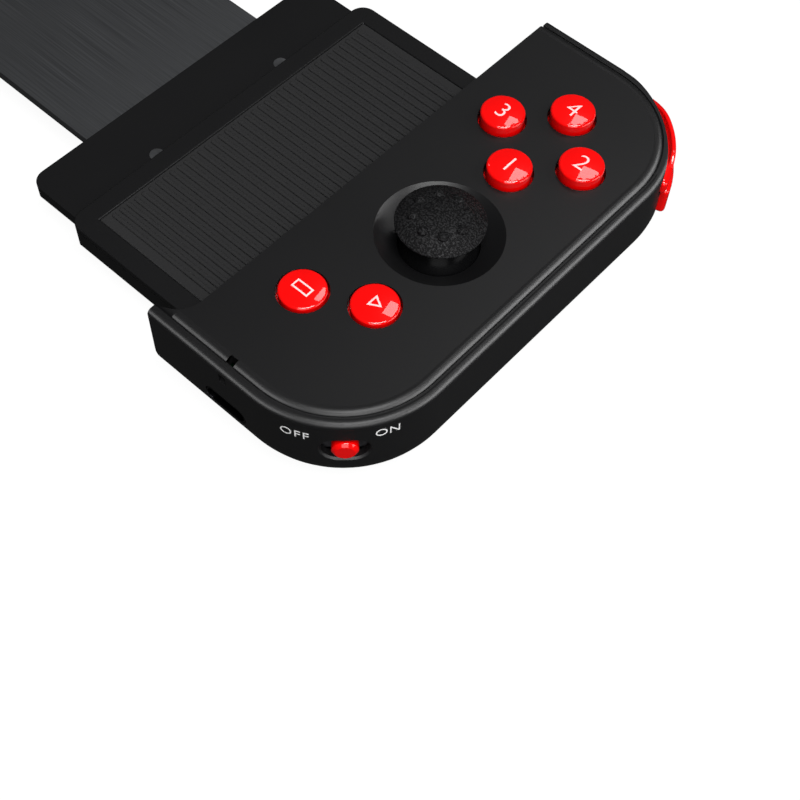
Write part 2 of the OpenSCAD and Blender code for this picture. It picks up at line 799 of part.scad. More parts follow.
module bar() {
  half = bay_len / 2 + bar_in;
  color(steel) translate([-half, bay_y + y_shift - bar_w / 2, bar_z]) difference() {
    cube([2 * half, bar_w, bar_t]);
    for (side = [0, 1]) translate([half, bar_w / 2, -cut]) mirror([side, 0, 0]) for (p = rivet_spots)
      translate([bay_len / 2 + p.x, p.y, 0]) cylinder(r = rivet_r, h = bar_t + 2 * cut);
  }
}

module rivets() {
  color(steel) for (p = rivet_spots) translate([p.x, bay_y + p.y, head_z])
    cylinder(r = rivet_r, h = head_t);
}

module clamp_springs() {
  color(steel) for (s = [-1, 1]) translate([spring_x, bay_y + s * spring_y, (head_z + head_top) / 2])
    rotate([0, 90, 0]) cylinder(r = spring_r, h = -tray_end - touch_gap - spring_x);
}

right() front_plate();  // right_front_plate
right() rear_shell(true);  // right_rear_shell
right() tray();  // right_tray
right() tray_cover();  // right_tray_cover
right() tray_pad();  // right_tray_pad
right() wall_pad();  // right_wall_pad
right() screws();  // right_screws
right() board(true);  // right_board
right() battery_pack();  // battery
right() port_shell();  // charging_port
right() switch_body();  // power_switch_body
right() switch_knob();  // power_switch_knob
right() button(group_spots[0], button_d, button_rise);  // face_button_1
right() button(group_spots[1], button_d, button_rise);  // face_button_2
right() button(group_spots[2], button_d, button_rise);  // face_button_3
right() button(group_spots[3], button_d, button_rise);  // face_button_4
right() membrane(group_spots, button_d / 2);  // face_membrane
right() button(pair_spots[0], pair_d, pair_rise);  // select_button
right() button(pair_spots[1], pair_d, pair_rise);  // start_button
right() membrane(pair_spots, pair_d / 2);  // select_start_membrane
right() stick_base();  // right_stick_base
right() stick_gimbal();  // right_stick_gimbal
right() stick_stem();  // right_stick_stem
right() stick_cap();  // right_stick_cap
right() bumper();  // right_bumper
right() trigger();  // right_trigger
right() shoulder_pin();  // right_shoulder_pin
right() shoulder_springs();  // right_shoulder_springs
right() clamp_springs();  // right_clamp_springs
bar();  // bridge_bar
right() slider();  // right_slider
left() slider();  // left_slider
union() { right() rivets(); left() rivets(); }  // bridge_rivets
left() front_plate();  // left_front_plate
left() rear_shell(false);  // left_rear_shell
left() tray();  // left_tray
left() tray_cover();  // left_tray_cover
left() tray_pad();  // left_tray_pad
left() wall_pad();  // left_wall_pad
left() screws();  // left_screws
left() board(false);  // left_board
left() button(group_spots[0], button_d, button_rise);  // arrow_button_down
left() button(group_spots[1], button_d, button_rise);  // arrow_button_left
left() button(group_spots[2], button_d, button_rise);  // arrow_button_right
left() button(group_spots[3], button_d, button_rise);  // arrow_button_up
left() membrane(group_spots, button_d / 2);  // arrow_membrane
left() button(pair_spots[0], pair_d, pair_rise);  // turbo_button
left() button(pair_spots[1], pair_d, pair_rise);  // home_button
left() membrane(pair_spots, pair_d / 2);  // turbo_home_membrane
left() stick_base();  // left_stick_base
left() stick_gimbal();  // left_stick_gimbal
left() stick_stem();  // left_stick_stem
left() stick_cap();  // left_stick_cap
left() bumper();  // left_bumper
left() trigger();  // left_trigger
left() shoulder_pin();  // left_shoulder_pin
left() shoulder_springs();  // left_shoulder_springs
left() clamp_springs();  // left_clamp_springs
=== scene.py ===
"""Looks of a telescopic game controller for a phone: finishes, marks and fine edges on the solids."""
import json
import math

import bmesh
import bpy
from mathutils import Matrix, Vector

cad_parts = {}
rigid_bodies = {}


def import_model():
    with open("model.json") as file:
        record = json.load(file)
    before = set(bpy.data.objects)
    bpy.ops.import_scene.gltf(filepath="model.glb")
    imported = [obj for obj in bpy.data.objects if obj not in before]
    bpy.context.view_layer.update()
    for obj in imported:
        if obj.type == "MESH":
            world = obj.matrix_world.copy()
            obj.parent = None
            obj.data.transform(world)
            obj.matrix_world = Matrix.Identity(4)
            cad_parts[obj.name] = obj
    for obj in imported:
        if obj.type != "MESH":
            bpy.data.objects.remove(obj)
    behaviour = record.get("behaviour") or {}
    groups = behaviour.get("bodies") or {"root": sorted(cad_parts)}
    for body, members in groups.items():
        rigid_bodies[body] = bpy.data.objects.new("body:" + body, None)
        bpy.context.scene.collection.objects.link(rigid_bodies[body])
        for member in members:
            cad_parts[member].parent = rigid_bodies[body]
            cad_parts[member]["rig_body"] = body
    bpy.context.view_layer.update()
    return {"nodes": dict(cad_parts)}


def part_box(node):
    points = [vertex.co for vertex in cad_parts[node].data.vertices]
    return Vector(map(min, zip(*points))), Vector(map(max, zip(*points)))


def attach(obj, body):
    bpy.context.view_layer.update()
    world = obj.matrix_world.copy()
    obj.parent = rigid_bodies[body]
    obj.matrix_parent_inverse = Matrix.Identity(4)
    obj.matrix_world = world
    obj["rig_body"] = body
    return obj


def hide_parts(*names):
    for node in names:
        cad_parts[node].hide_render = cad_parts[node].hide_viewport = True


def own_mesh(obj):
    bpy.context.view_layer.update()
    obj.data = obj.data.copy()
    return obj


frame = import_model()

MM = 0.001
SIDES = {"right": 1, "left": -1}
MERGE = 0.001 * MM
SKIN = 0.02 * MM
FLAT = math.radians(0.05)
CREASE = math.radians(30)
TURN = 2 * math.pi

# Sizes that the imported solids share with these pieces
shell_low, shell_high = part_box("right_rear_shell")
plate_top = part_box("right_front_plate")[1].z
rim_top = shell_high.z
corner_r = 21 * MM
corner_x = shell_high.x - corner_r
lower_corner = Vector((corner_x, shell_low.y + corner_r, 0))
upper_corner = Vector((corner_x, shell_high.y - corner_r, 0))
pin_low, pin_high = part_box("right_shoulder_pin")
pin_spot = (pin_low + pin_high) / 2
pin_r = (pin_high.x - pin_low.x) / 2
board_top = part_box("right_board")[1].z
sheet_t = 0.8 * MM
flange_lip = 1 * MM
flange_t = 1.2 * MM


# Colours and nodes

def linear(code):
    """Turns an sRGB hex colour into the linear colour that a socket holds."""
    shares = [int(code[i:i + 2], 16) / 255 for i in (1, 3, 5)]
    return [c / 12.92 if c <= 0.04045 else ((c + 0.055) / 1.055) ** 2.4 for c in shares] + [1]


def add(tree, kind, inputs=None, **settings):
    """Adds a node. inputs gives a socket, by name or number, a value or another node's output."""
    made = tree.nodes.new("ShaderNode" + kind)
    for name, value in settings.items():
        setattr(made, name, value)
    for name, value in (inputs or {}).items():
        if isinstance(value, bpy.types.NodeSocket):
            tree.links.new(value, made.inputs[name])
        else:
            made.inputs[name].default_value = value
    return made


def material(name):
    """Starts an empty node material and gives it with its Object coordinates."""
    made = bpy.data.materials.new(name)
    made.use_nodes = True
    made.node_tree.nodes.clear()
    place = add(made.node_tree, "TexCoord").outputs["Object"]
    return made, made.node_tree, place


def surface(tree, shader):
    """Makes a shader the material's surface."""
    add(tree, "OutputMaterial", {"Surface": shader.outputs[0]})


# Finishes

def spark_eroded_abs():
    """Black ABS from a spark-eroded mould: satin, with a grain that is drawn at 0.25 mm so that it shows."""
    grain_size = 0.25 * MM
    cloud_size = 22 * MM
    made, tree, place = material("spark_eroded_black_abs")
    grain = add(tree, "TexNoise", {"Vector": place, "Scale": 1 / grain_size, "Detail": 1.5})
    cloud = add(tree, "TexNoise", {"Vector": place, "Scale": 1 / cloud_size, "Detail": 2})
    tone = add(tree, "MixRGB", {"Fac": cloud.outputs["Fac"], "Color1": linear("#0f0f10"),
                                "Color2": linear("#131314")})
    sheen = add(tree, "MapRange", {"Value": grain.outputs["Fac"], "To Min": 0.36, "To Max": 0.44})
    bump = add(tree, "Bump", {"Height": grain.outputs["Fac"], "Strength": 0.06, "Distance": 0.03 * MM})
    surface(tree, add(tree, "BsdfPrincipled", {
        "Base Color": tone.outputs[0], "Roughness": sheen.outputs[0], "Normal": bump.outputs[0],
        "IOR": 1.5, "Specular IOR Level": 0.3}))
    return made


def polished_red_abs():
    """Red ABS from a polished mould under clear lacquer: deep colour, sharp reflections, faint ripple."""
    ripple_size = 5 * MM
    made, tree, place = material("polished_red_abs")
    ripple = add(tree, "TexNoise", {"Vector": place, "Scale": 1 / ripple_size, "Detail": 1})
    tone = add(tree, "MixRGB", {"Fac": ripple.outputs["Fac"], "Color1": linear("#ee0202"),
                                "Color2": linear("#fa0404")})
    bump = add(tree, "Bump", {"Height": ripple.outputs["Fac"], "Strength": 0.05, "Distance": 0.02 * MM})
    surface(tree, add(tree, "BsdfPrincipled", {
        "Base Color": tone.outputs[0], "Roughness": 0.3, "IOR": 1.5, "Specular IOR Level": 0.08,
        "Coat Weight": 1, "Coat Roughness": 0.02, "Coat IOR": 1.65, "Coat Normal": bump.outputs[0]}))
    return made


def stippled_rubber():
    """Black moulded rubber with a stipple of about 0.3 mm: painted shade in the hollows and a painted
    highlight on the raised specks, which are also shinier.
    """
    speck_size = 0.3 * MM
    made, tree, place = material("stippled_black_rubber")
    speck = add(tree, "TexNoise", {"Vector": place, "Scale": 1 / speck_size, "Detail": 2, "Roughness": 0.6})
    raised_specks_painted_lit = add(tree, "MapRange", {"Value": speck.outputs["Fac"], "From Min": 0.46, "From Max": 0.62})
    # The colour paints shade into the hollows and a highlight onto the raised specks, following the bump's
    # mask.
    tone = add(tree, "MixRGB", {"Fac": raised_specks_painted_lit.outputs[0], "Color1": linear("#050506"),
                                "Color2": linear("#262627")})
    sheen = add(tree, "MapRange", {"Value": raised_specks_painted_lit.outputs[0], "To Min": 0.7, "To Max": 0.4})
    bump = add(tree, "Bump", {"Height": raised_specks_painted_lit.outputs[0], "Strength": 0.5, "Distance": 0.1 * MM})
    surface(tree, add(tree, "BsdfPrincipled", {
        "Base Color": tone.outputs[0], "Roughness": sheen.outputs[0], "IOR": 1.52, "Specular IOR Level": 0.12,
        "Normal": bump.outputs[0]}))
    return made


def polished_black_abs():
    """Black ABS from a polished mould, dulled by use: broad soft reflections with faint flow marks."""
    flow_size = 4 * MM
    made, tree, place = material("polished_black_abs")
    flow = add(tree, "TexNoise", {"Vector": place, "Scale": 1 / flow_size, "Detail": 1})
    sheen = add(tree, "MapRange", {"Value": flow.outputs["Fac"], "To Min": 0.2, "To Max": 0.28})
    surface(tree, add(tree, "BsdfPrincipled", {
        "Base Color": linear("#0c0c0d"), "Roughness": sheen.outputs[0], "IOR": 1.5,
        "Specular IOR Level": 0.08}))
    return made


def soft_rubber():
    """Black silicone rubber of the pads: dull, with a fine cast grain of 0.3 mm."""
    grain_size = 0.3 * MM
    made, tree, place = material("cast_black_silicone")
    grain = add(tree, "TexNoise", {"Vector": place, "Scale": 1 / grain_size, "Detail": 2})
    tone = add(tree, "MixRGB", {"Fac": grain.outputs["Fac"], "Color1": linear("#161617"),
                                "Color2": linear("#222223")})
    bump = add(tree, "Bump", {"Height": grain.outputs["Fac"], "Strength": 0.4, "Distance": 0.05 * MM})
    surface(tree, add(tree, "BsdfPrincipled", {
        "Base Color": tone.outputs[0], "Roughness": 0.78, "IOR": 1.43, "Normal": bump.outputs[0]}))
    return made


def brushed_steel():
    """Stainless strip brushed along its length: streaks 0.2 mm wide and 25 mm long stretch the glints."""
    streak_width = 0.2 * MM
    streak_length = 25 * MM
    made, tree, place = material("brushed_stainless_steel")
    along = add(tree, "Mapping", {"Vector": place,
                                  "Scale": (1 / streak_length, 1 / streak_width, 1 / streak_width)})
    streak = add(tree, "TexNoise", {"Vector": along.outputs[0], "Scale": 1, "Detail": 3})
    tone = add(tree, "MixRGB", {"Fac": streak.outputs["Fac"], "Color1": linear("#6e7073"),
                                "Color2": linear("#9a9c9f")})
    sheen = add(tree, "MapRange", {"Value": streak.outputs["Fac"], "To Min": 0.32, "To Max": 0.48})
    bump = add(tree, "Bump", {"Height": streak.outputs["Fac"], "Strength": 0.15, "Distance": 0.02 * MM})
    surface(tree, add(tree, "BsdfPrincipled", {
        "Base Color": tone.outputs[0], "Metallic": 1, "Roughness": sheen.outputs[0],
        "Normal": bump.outputs[0]}))
    return made


def plated_metal(name, dark, light, roughness):
    """Plated metal of small parts: an even tone with handling smears of about 2 mm."""
    smear_size = 2 * MM
    made, tree, place = material(name)
    smear = add(tree, "TexNoise", {"Vector": place, "Scale": 1 / smear_size, "Detail": 3})
    tone = add(tree, "MixRGB", {"Fac": smear.outputs["Fac"], "Color1": linear(dark),
                                "Color2": linear(light)})
    sheen = add(tree, "MapRange", {"Value": smear.outputs["Fac"], "To Min": roughness - 0.06,
                                   "To Max": roughness + 0.08})
    surface(tree, add(tree, "BsdfPrincipled", {
        "Base Color": tone.outputs[0], "Metallic": 1, "Roughness": sheen.outputs[0]}))
    return made


def plain_plastic(name, dark, light, roughness, grain_size):
    """Unpainted plastic of inner parts: a dull tone with a slight mottle at the given size."""
    made, tree, place = material(name)
    mottle = add(tree, "TexNoise", {"Vector": place, "Scale": 1 / grain_size, "Detail": 2})
    tone = add(tree, "MixRGB", {"Fac": mottle.outputs["Fac"], "Color1": linear(dark),
                                "Color2": linear(light)})
    surface(tree, add(tree, "BsdfPrincipled", {
        "Base Color": tone.outputs[0], "Roughness": roughness, "IOR": 1.5}))
    return made


def solder_mask():
    """Glass-fibre circuit board under green solder mask: tracks 0.4 mm wide show as paler raised lines."""
    track_pitch = 2.4 * MM
    track_width = 0.4 * MM
    made, tree, place = material("green_solder_mask")
    tracks = add(tree, "TexBrick", {
        "Vector": place, "Color1": linear("#0f4726"), "Color2": linear("#125230"),
        "Mortar": linear("#2a7d49"), "Scale": 1, "Mortar Size": track_width / 2,
        "Brick Width": 3 * track_pitch, "Row Height": track_pitch})
    bump = add(tree, "Bump", {"Height": tracks.outputs["Fac"], "Strength": 0.3, "Distance": 0.05 * MM})
    surface(tree, add(tree, "BsdfPrincipled", {
        "Base Color": tracks.outputs["Color"], "Roughness": 0.35, "IOR": 1.5, "Normal": bump.outputs[0]}))
    return made


def screen_print(name, dark, light):
    """White screen-printed ink, tinted by what shows through it, with the mottle of a 0.1 mm mesh."""
    mesh_size = 0.1 * MM
    made, tree, place = material(name)
    mottle = add(tree, "TexNoise", {"Vector": place, "Scale": 1 / mesh_size, "Detail": 1})
    tone = add(tree, "MixRGB", {"Fac": mottle.outputs["Fac"], "Color1": linear(dark),
                                "Color2": linear(light)})
    surface(tree, add(tree, "BsdfPrincipled", {
        "Base Color": tone.outputs[0], "Roughness": 0.5, "IOR": 1.48}))
    return made


black_abs = spark_eroded_abs()
red_abs = polished_red_abs()
cap_rubber = stippled_rubber()
skirt_abs = polished_black_abs()
pad_rubber = soft_rubber()
strip_steel = brushed_steel()
zinc = plated_metal("zinc_plated_steel", "#8a8c90", "#b9bbbe", 0.3)
black_screw = plated_metal("black_oxide_steel", "#202022", "#343436", 0.36)
black_nickel = plated_metal("black_nickel_plated_steel", "#19191b", "#2b2b2e", 0.26)
gold = plated_metal("gold_plated_contact", "#b98a2e", "#e0b656", 0.22)
white_ink = screen_print("white_screen_print", "#f0f0f0", "#fcfcfc")
thin_ink = screen_print("thin_white_screen_print", "#eecaca", "#f8d8d8")
board_mask = solder_mask()
dome_silicone = plain_plastic("translucent_silicone", "#c9c7c0", "#dedcd5", 0.6, 2 * MM)
foil = plated_metal("battery_foil_pouch", "#8b9099", "#a9aeb6", 0.35)
grey_nylon = plain_plastic("grey_nylon", "#2c2c2f", "#3a3a3d", 0.55, 1.5 * MM)
tongue_nylon = plain_plastic("black_nylon", "#0f0f10", "#1a1a1b", 0.5, 1 * MM)


# Making and placing pieces

def sharp_edges(bm):
    """Edges where two faces meet at more than the crease angle."""
    return [e for e in bm.edges if e.is_manifold and e.calc_face_angle() > CREASE]


def soften(bm, edges, width, segments=3):
    """Rounds edges, or chamfers them with one segment."""
    bmesh.ops.bevel(bm, geom=edges, offset=width, offset_type="OFFSET", affect="EDGES", segments=segments,
                    profile=0.5, material=-1, clamp_overlap=True)


def close(bm):
    """Merges what a spin leaves doubled and turns every face outwards."""
    bmesh.ops.remove_doubles(bm, verts=bm.verts, dist=MERGE)
    bmesh.ops.recalc_face_normals(bm, faces=bm.faces)


def piece(bm, name, body, finish, nodes=()):
    """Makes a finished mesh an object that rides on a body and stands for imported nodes."""
    mesh = bpy.data.meshes.new(name)
    bm.to_mesh(mesh)
    bm.free()
    if "custom_normal" in mesh.attributes:
        mesh.attributes.remove(mesh.attributes["custom_normal"])
    mesh.shade_smooth()
    mesh.set_sharp_from_angle(angle=CREASE)
    mesh.materials.append(finish)
    made = bpy.data.objects.new(name, mesh)
    bpy.context.scene.collection.objects.link(made)
    even = made.modifiers.new("even_normals", "WEIGHTED_NORMAL")
    even.keep_sharp = True
    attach(made, body)
    if nodes:
        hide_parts(*nodes)
    return made


def body_of(node):
    """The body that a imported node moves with."""
    return frame["nodes"][node]["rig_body"]


def merged_copy(node):
    """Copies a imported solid, with its loose triangles merged into whole faces."""
    bm = bmesh.new()
    bm.from_mesh(frame["nodes"][node].data)
    bmesh.ops.remove_doubles(bm, verts=bm.verts, dist=MERGE)
    bmesh.ops.dissolve_limit(bm, angle_limit=FLAT, verts=bm.verts, edges=bm.edges)
    return bm


def profile_line(bm, points):
    """Draws a profile of (distance from the axis, height) points as a line of edges."""
    verts = [bm.verts.new((r, 0, z)) for r, z in points]
    for a, b in zip(verts, verts[1:]):
        bm.edges.new((a, b))


def turned(points, centre, steps=72):
    """Turns a profile about the upright line through centre."""
    bm = bmesh.new()
    profile_line(bm, points)
    bmesh.ops.spin(bm, geom=bm.verts[:] + bm.edges[:], cent=(0, 0, 0), axis=(0, 0, 1), angle=TURN,
                   steps=steps, use_merge=True)
    close(bm)
    bmesh.ops.translate(bm, verts=bm.verts, vec=(centre.x, centre.y, 0))
    return bm


def join(bm, other):
    """Adds another bmesh to this one."""
    mesh = bpy.data.meshes.new("joined")
    other.to_mesh(mesh)
    other.free()
    bm.from_mesh(mesh)
    bpy.data.meshes.remove(mesh)


def block(low, high, edge, segments=2):
    """A box between two corners with rounded edges."""
    bm = bmesh.new()
    place = Matrix.Translation((low + high) / 2) @ Matrix.Diagonal(high - low).to_4x4()
    bmesh.ops.create_cube(bm, size=1, matrix=place)
    soften(bm, bm.edges[:], edge, segments)
    return bm


# Shells, trays and the slide

def near_outer_wall(vert):
    """True on the grip's outer wall: its rim, its flat ends, its round corners and its back."""
    x, y = abs(vert.co.x), vert.co.y
    on_end = abs(y - shell_low.y) < SKIN
    on_back = vert.co.z < SKIN
    on_rim = abs(vert.co.z - rim_top) < SKIN
    corners = [math.hypot(x - c.x, y - c.y) for c in (lower_corner, upper_corner)]
    return on_end or on_back or on_rim or any(abs(r - corner_r) < SKIN for r in corners)


def on_plate_top(vert):
    """True on the front plate's flat top."""
    return vert.co.z > plate_top - SKIN


def anywhere(vert):
    """True everywhere: all sharp edges are softened."""
    return True


def round_switch(vert):
    """True on the mouth of the power switch's recess in the right grip."""
    spoke = vert.co - lower_corner
    turned_by = abs(math.atan2(spoke.y, spoke.x) - switch_angle)
    on_wall = abs(spoke.xy.length - corner_r) < SKIN
    return on_wall and turned_by < switch_reach and switch_low < vert.co.z < switch_high


def mould(node, edge, where=anywhere, finish=black_abs):
    """A moulded piece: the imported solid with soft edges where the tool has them."""
    bm = merged_copy(node)
    if node == "right_rear_shell":
        mouth = [e for e in sharp_edges(bm) if all(round_switch(v) for v in e.verts)]
        soften(bm, mouth, switch_chamfer, 1)
    picked = [e for e in sharp_edges(bm) if all(where(v) for v in e.verts)]
    soften(bm, picked, edge)
    return piece(bm, node + "_finish", body_of(node), finish, [node])


switch_angle = math.radians(-46)
switch_reach = math.radians(13)
switch_low, switch_high = 8 * MM, 16 * MM
switch_chamfer = 0.7 * MM
for side in SIDES:
    mould(f"{side}_front_plate", 0.22 * MM, on_plate_top)
    mould(f"{side}_rear_shell", 0.28 * MM, near_outer_wall)
    mould(f"{side}_tray", 0.25 * MM)
    mould(f"{side}_tray_cover", 0.25 * MM)
    mould(f"{side}_slider", 0.2 * MM)
mould("bridge_bar", 0.2 * MM, finish=strip_steel)


def swept(section, path):
    """Sweeps a closed section of (distance out, height) points along a path of (centre, angle) pairs."""
    bm = bmesh.new()
    loops = []
    for centre, angle in path:
        out = Vector((math.cos(angle), math.sin(angle), 0))
        loops.append([bm.verts.new(centre + r * out + Vector((0, 0, z))) for r, z in section])
    for a, b in zip(loops, loops[1:]):
        for i in range(len(section)):
            bm.faces.new((a[i - 1], a[i], b[i], b[i - 1]))
    bm.faces.new(loops[0])
    bm.faces.new(loops[-1])
    close(bm)
    return bm


def arc(centre, radius, first, last, steps):
    """Points of a section's rounding, as (distance out, height)."""
    turns = [math.radians(first + (last - first) * k / steps) for k in range(steps + 1)]
    return [(centre[0] + radius * math.cos(t), centre[1] + radius * math.sin(t)) for t in turns]


def grip_edge(side, name, section, paths):
    """An edge of the grip, swept along one or more runs round its outer sides."""
    bm = bmesh.new()
    for path in paths:
        join(bm, swept(section, path))
    if side == "left":
        bmesh.ops.scale(bm, verts=bm.verts, vec=(-1, 1, 1))
        close(bm)
    piece(bm, f"{side}_{name}", f"{side}_grip", black_abs)


def lower_run(start):
    """The run along the lower end from a place, and round the lower corner."""
    path = [(Vector((start, lower_corner.y, 0)), -math.pi / 2)]
    return path + [(lower_corner, math.radians(turn)) for turn in range(-90, 1, 3)]


def upper_run(first, last):
    """The run round the upper corner between two angles in degrees."""
    return [(upper_corner, math.radians(turn)) for turn in range(first, last + 1)]


# Sections are (distance out from the corner's middle, height); the edges stand a little proud of the solids
proud = 0.05 * MM
horn_start = 75.2 * MM
plate_start = 78.6 * MM
inner_wall = 80.02 * MM
strap_slot = (90.9 * MM, 92.5 * MM)
lip_from = 13
rim_round = 1 * MM + proud
rim_centre = (20 * MM, 18.6 * MM)
rim_inner_round = 0.6 * MM
rim_inner_centre = (19.9 * MM, rim_top + proud - rim_inner_round)
rim_in, rim_back = 19.3 * MM, 20.4 * MM
rim_foot = 18.3 * MM
plate_round = 1.2 * MM + proud
plate_centre = (18.05 * MM, 18.8 * MM)
plate_in, plate_foot = 17.6 * MM, 18.6 * MM
seam_in, seam_middle, seam_out = 19.05 * MM, 19.28 * MM, 19.5 * MM
seam_foot = 18.9 * MM
seam_hollow = 19.28 * MM
end_run = [(upper_corner, math.pi / 2), (Vector((inner_wall, upper_corner.y, 0)), math.pi / 2)]

tongue = [(seam_in, seam_foot), (seam_out, seam_foot), (seam_out, 19.36 * MM), (seam_middle, seam_hollow),
          (seam_in, 19.34 * MM)]
rim_edge = [(rim_in, seam_foot), (rim_in, seam_hollow)]
rim_edge += arc(rim_inner_centre, rim_inner_round, 155, 95, 6) + arc(rim_centre, rim_round, 90, 0, 14)
rim_edge += [(corner_r + proud / 4, rim_foot), (rim_back, rim_foot)]
plate_edge = [(plate_in, plate_top - 0.1 * MM), (plate_in, plate_top + proud / 8)]
plate_edge += arc(plate_centre, plate_round, 90, 8, 14) + [(plate_foot, seam_foot)]
whole_run = lower_run(horn_start) + upper_run(0, 90) + end_run[1:]
rim_runs = [lower_run(horn_start) + upper_run(0, lip_from), end_run]
plate_runs = [[(Vector((x, lower_corner.y, 0)), -math.pi / 2) for x in (plate_start, strap_slot[0])],
              lower_run(strap_slot[1]) + upper_run(0, 90) + end_run[1:]]
for side in SIDES:
    grip_edge(side, "seam_tongue", tongue, [whole_run])
    grip_edge(side, "rim_edge", rim_edge, rim_runs)
    grip_edge(side, "plate_edge", plate_edge, plate_runs)


# Buttons and their marks

def dome_profile(r, top, rise, rings):
    """Points of a low dome from its rim to its middle."""
    return [(r * i / rings, top - rise * (i / rings) ** 2) for i in range(rings, -1, -1)]


def button(node, edge):
    """A button with a flange below and a low dome, softened round its top."""
    low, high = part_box(node)
    middle = (low + high) / 2
    r = (high.x - low.x) / 2 - flange_lip
    flange_top = low.z + flange_t
    points = [(0, low.z), (r + flange_lip, low.z), (r + flange_lip, flange_top), (r, flange_top)]
    points += dome_profile(r, high.z, button_dome, 10)
    bm = turned(points, middle)
    rim = [e for e in sharp_edges(bm) if min(v.co.z for v in e.verts) > flange_top + 0.1 * MM]
    soften(bm, rim, edge, 5)
    return piece(bm, node + "_cap", body_of(node), red_abs, [node])


def letters(text, height, spread=1.0, weight=-0.01):
    """Makes a word or figure a thin solid of the given height, centred on the origin."""
    curve = bpy.data.curves.new("letters", "FONT")
    curve.body = text
    curve.align_x = "CENTER"
    curve.extrude = 0.02
    curve.offset = weight
    curve.space_character = spread
    curve.resolution_u = 5
    holder = bpy.data.objects.new("letters", curve)
    bpy.context.scene.collection.objects.link(holder)
    mesh = bpy.data.meshes.new_from_object(holder.evaluated_get(bpy.context.evaluated_depsgraph_get()))
    bm = bmesh.new()
    bm.from_mesh(mesh)
    bpy.data.objects.remove(holder)
    bpy.data.curves.remove(curve)
    bpy.data.meshes.remove(mesh)
    bmesh.ops.remove_doubles(bm, verts=bm.verts, dist=1e-5)
    low = [min(v.co[i] for v in bm.verts) for i in range(3)]
    high = [max(v.co[i] for v in bm.verts) for i in range(3)]
    bmesh.ops.translate(bm, verts=bm.verts, vec=[-(a + b) / 2 for a, b in zip(low, high)])
    size = height / (high[1] - low[1])
    bmesh.ops.scale(bm, verts=bm.verts, vec=(size, size, ink_t / (high[2] - low[2])))
    return bm


def outline(sides, radius, stroke, turn=0.0, stretch=1.0):
    """A closed line drawing of a regular figure, as a thin solid centred on the origin."""
    bm = bmesh.new()
    bmesh.ops.create_circle(bm, cap_ends=True, radius=radius, segments=sides,
                            matrix=Matrix.Rotation(turn, 4, "Z"))
    bmesh.ops.scale(bm, verts=bm.verts, vec=(stretch, 1, 1))
    inner = bm.faces[:]
    bmesh.ops.inset_region(bm, faces=inner, thickness=stroke, use_even_offset=True, use_boundary=True)
    bmesh.ops.delete(bm, geom=inner, context="FACES")
    made = bmesh.ops.extrude_face_region(bm, geom=bm.faces[:])
    top = [v for v in made["geom"] if isinstance(v, bmesh.types.BMVert)]
    bmesh.ops.translate(bm, verts=top, vec=(0, 0, ink_t))
    bmesh.ops.translate(bm, verts=bm.verts, vec=(0, 0, -ink_t / 2))
    close(bm)
    return bm


def finely_cut(bm, longest):
    """Cuts long edges so that a mark can follow a curved surface."""
    bmesh.ops.triangulate(bm, faces=bm.faces[:])
    for _ in range(4):
        long_edges = [e for e in bm.edges if e.calc_length() > longest]
        if not long_edges:
            break
        bmesh.ops.subdivide_edges(bm, edges=long_edges, cuts=1)
        bmesh.ops.triangulate(bm, faces=bm.faces[:])


def mark_on_button(bm, node):
    """Lays a mark on a button's domed top."""
    low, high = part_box(node)
    r = (high.x - low.x) / 2 - flange_lip
    finely_cut(bm, longest_cut)
    for v in bm.verts:
        v.co.z += high.z - button_dome * (v.co.x ** 2 + v.co.y ** 2) / r ** 2
    bmesh.ops.translate(bm, verts=bm.verts, vec=((low.x + high.x) / 2, (low.y + high.y) / 2, 0))
    piece(bm, node + "_mark", body_of(node), thin_ink)


def mark_on_corner(bm, name, angle, height):
    """Wraps a word round the lower outer corner, with its middle at the angle and height."""
    finely_cut(bm, longest_cut)
    for v in bm.verts:
        turn = angle + v.co.x / corner_r
        reach = corner_r + v.co.z
        v.co = lower_corner + Vector((reach * math.cos(turn), reach * math.sin(turn), height + v.co.y))
    close(bm)
    piece(bm, name, "right_grip", white_ink)


button_dome = 0.35 * MM
ink_t = 0.05 * MM
figure_height = 3.3 * MM
stroke = 0.32 * MM
longest_cut = 0.5 * MM
face_edge, pair_edge = 0.45 * MM, 0.35 * MM
arrow_r = 1.6 * MM
select_r, select_stretch = 1.3 * MM, 1.9
sign_r = 1.5 * MM
word_height = 1.85 * MM
word_weight = -0.004

face_buttons = [f"face_button_{n}" for n in (1, 2, 3, 4)]
arrow_turns = {"right": 0, "up": 90, "left": 180, "down": 270}
pair_buttons = ["select_button", "start_button", "turbo_button", "home_button"]
for node in face_buttons + [f"arrow_button_{way}" for way in arrow_turns]:
    button(node, face_edge)
for node in pair_buttons:
    button(node, pair_edge)
for number, node in enumerate(face_buttons, start=1):
    mark_on_button(letters(str(number), figure_height), node)
for way, degrees in arrow_turns.items():
    mark_on_button(outline(3, arrow_r, stroke, math.radians(degrees) - math.pi / 2), f"arrow_button_{way}")
mark_on_button(outline(4, select_r, stroke, math.pi / 4, select_stretch), "select_button")
mark_on_button(outline(3, sign_r, stroke, -math.pi / 2), "start_button")
mark_on_button(outline(8, sign_r, stroke, math.pi / 8), "turbo_button")
mark_on_button(outline(48, sign_r, stroke), "home_button")
off_word = letters("OFF", word_height, 1.12, word_weight)
mark_on_corner(off_word, "switch_word_off", math.radians(-68), 15.35 * MM)
on_word = letters("ON", word_height, 1.05, word_weight)
mark_on_corner(on_word, "switch_word_on", math.radians(-27.5), 16.45 * MM)


# Sticks

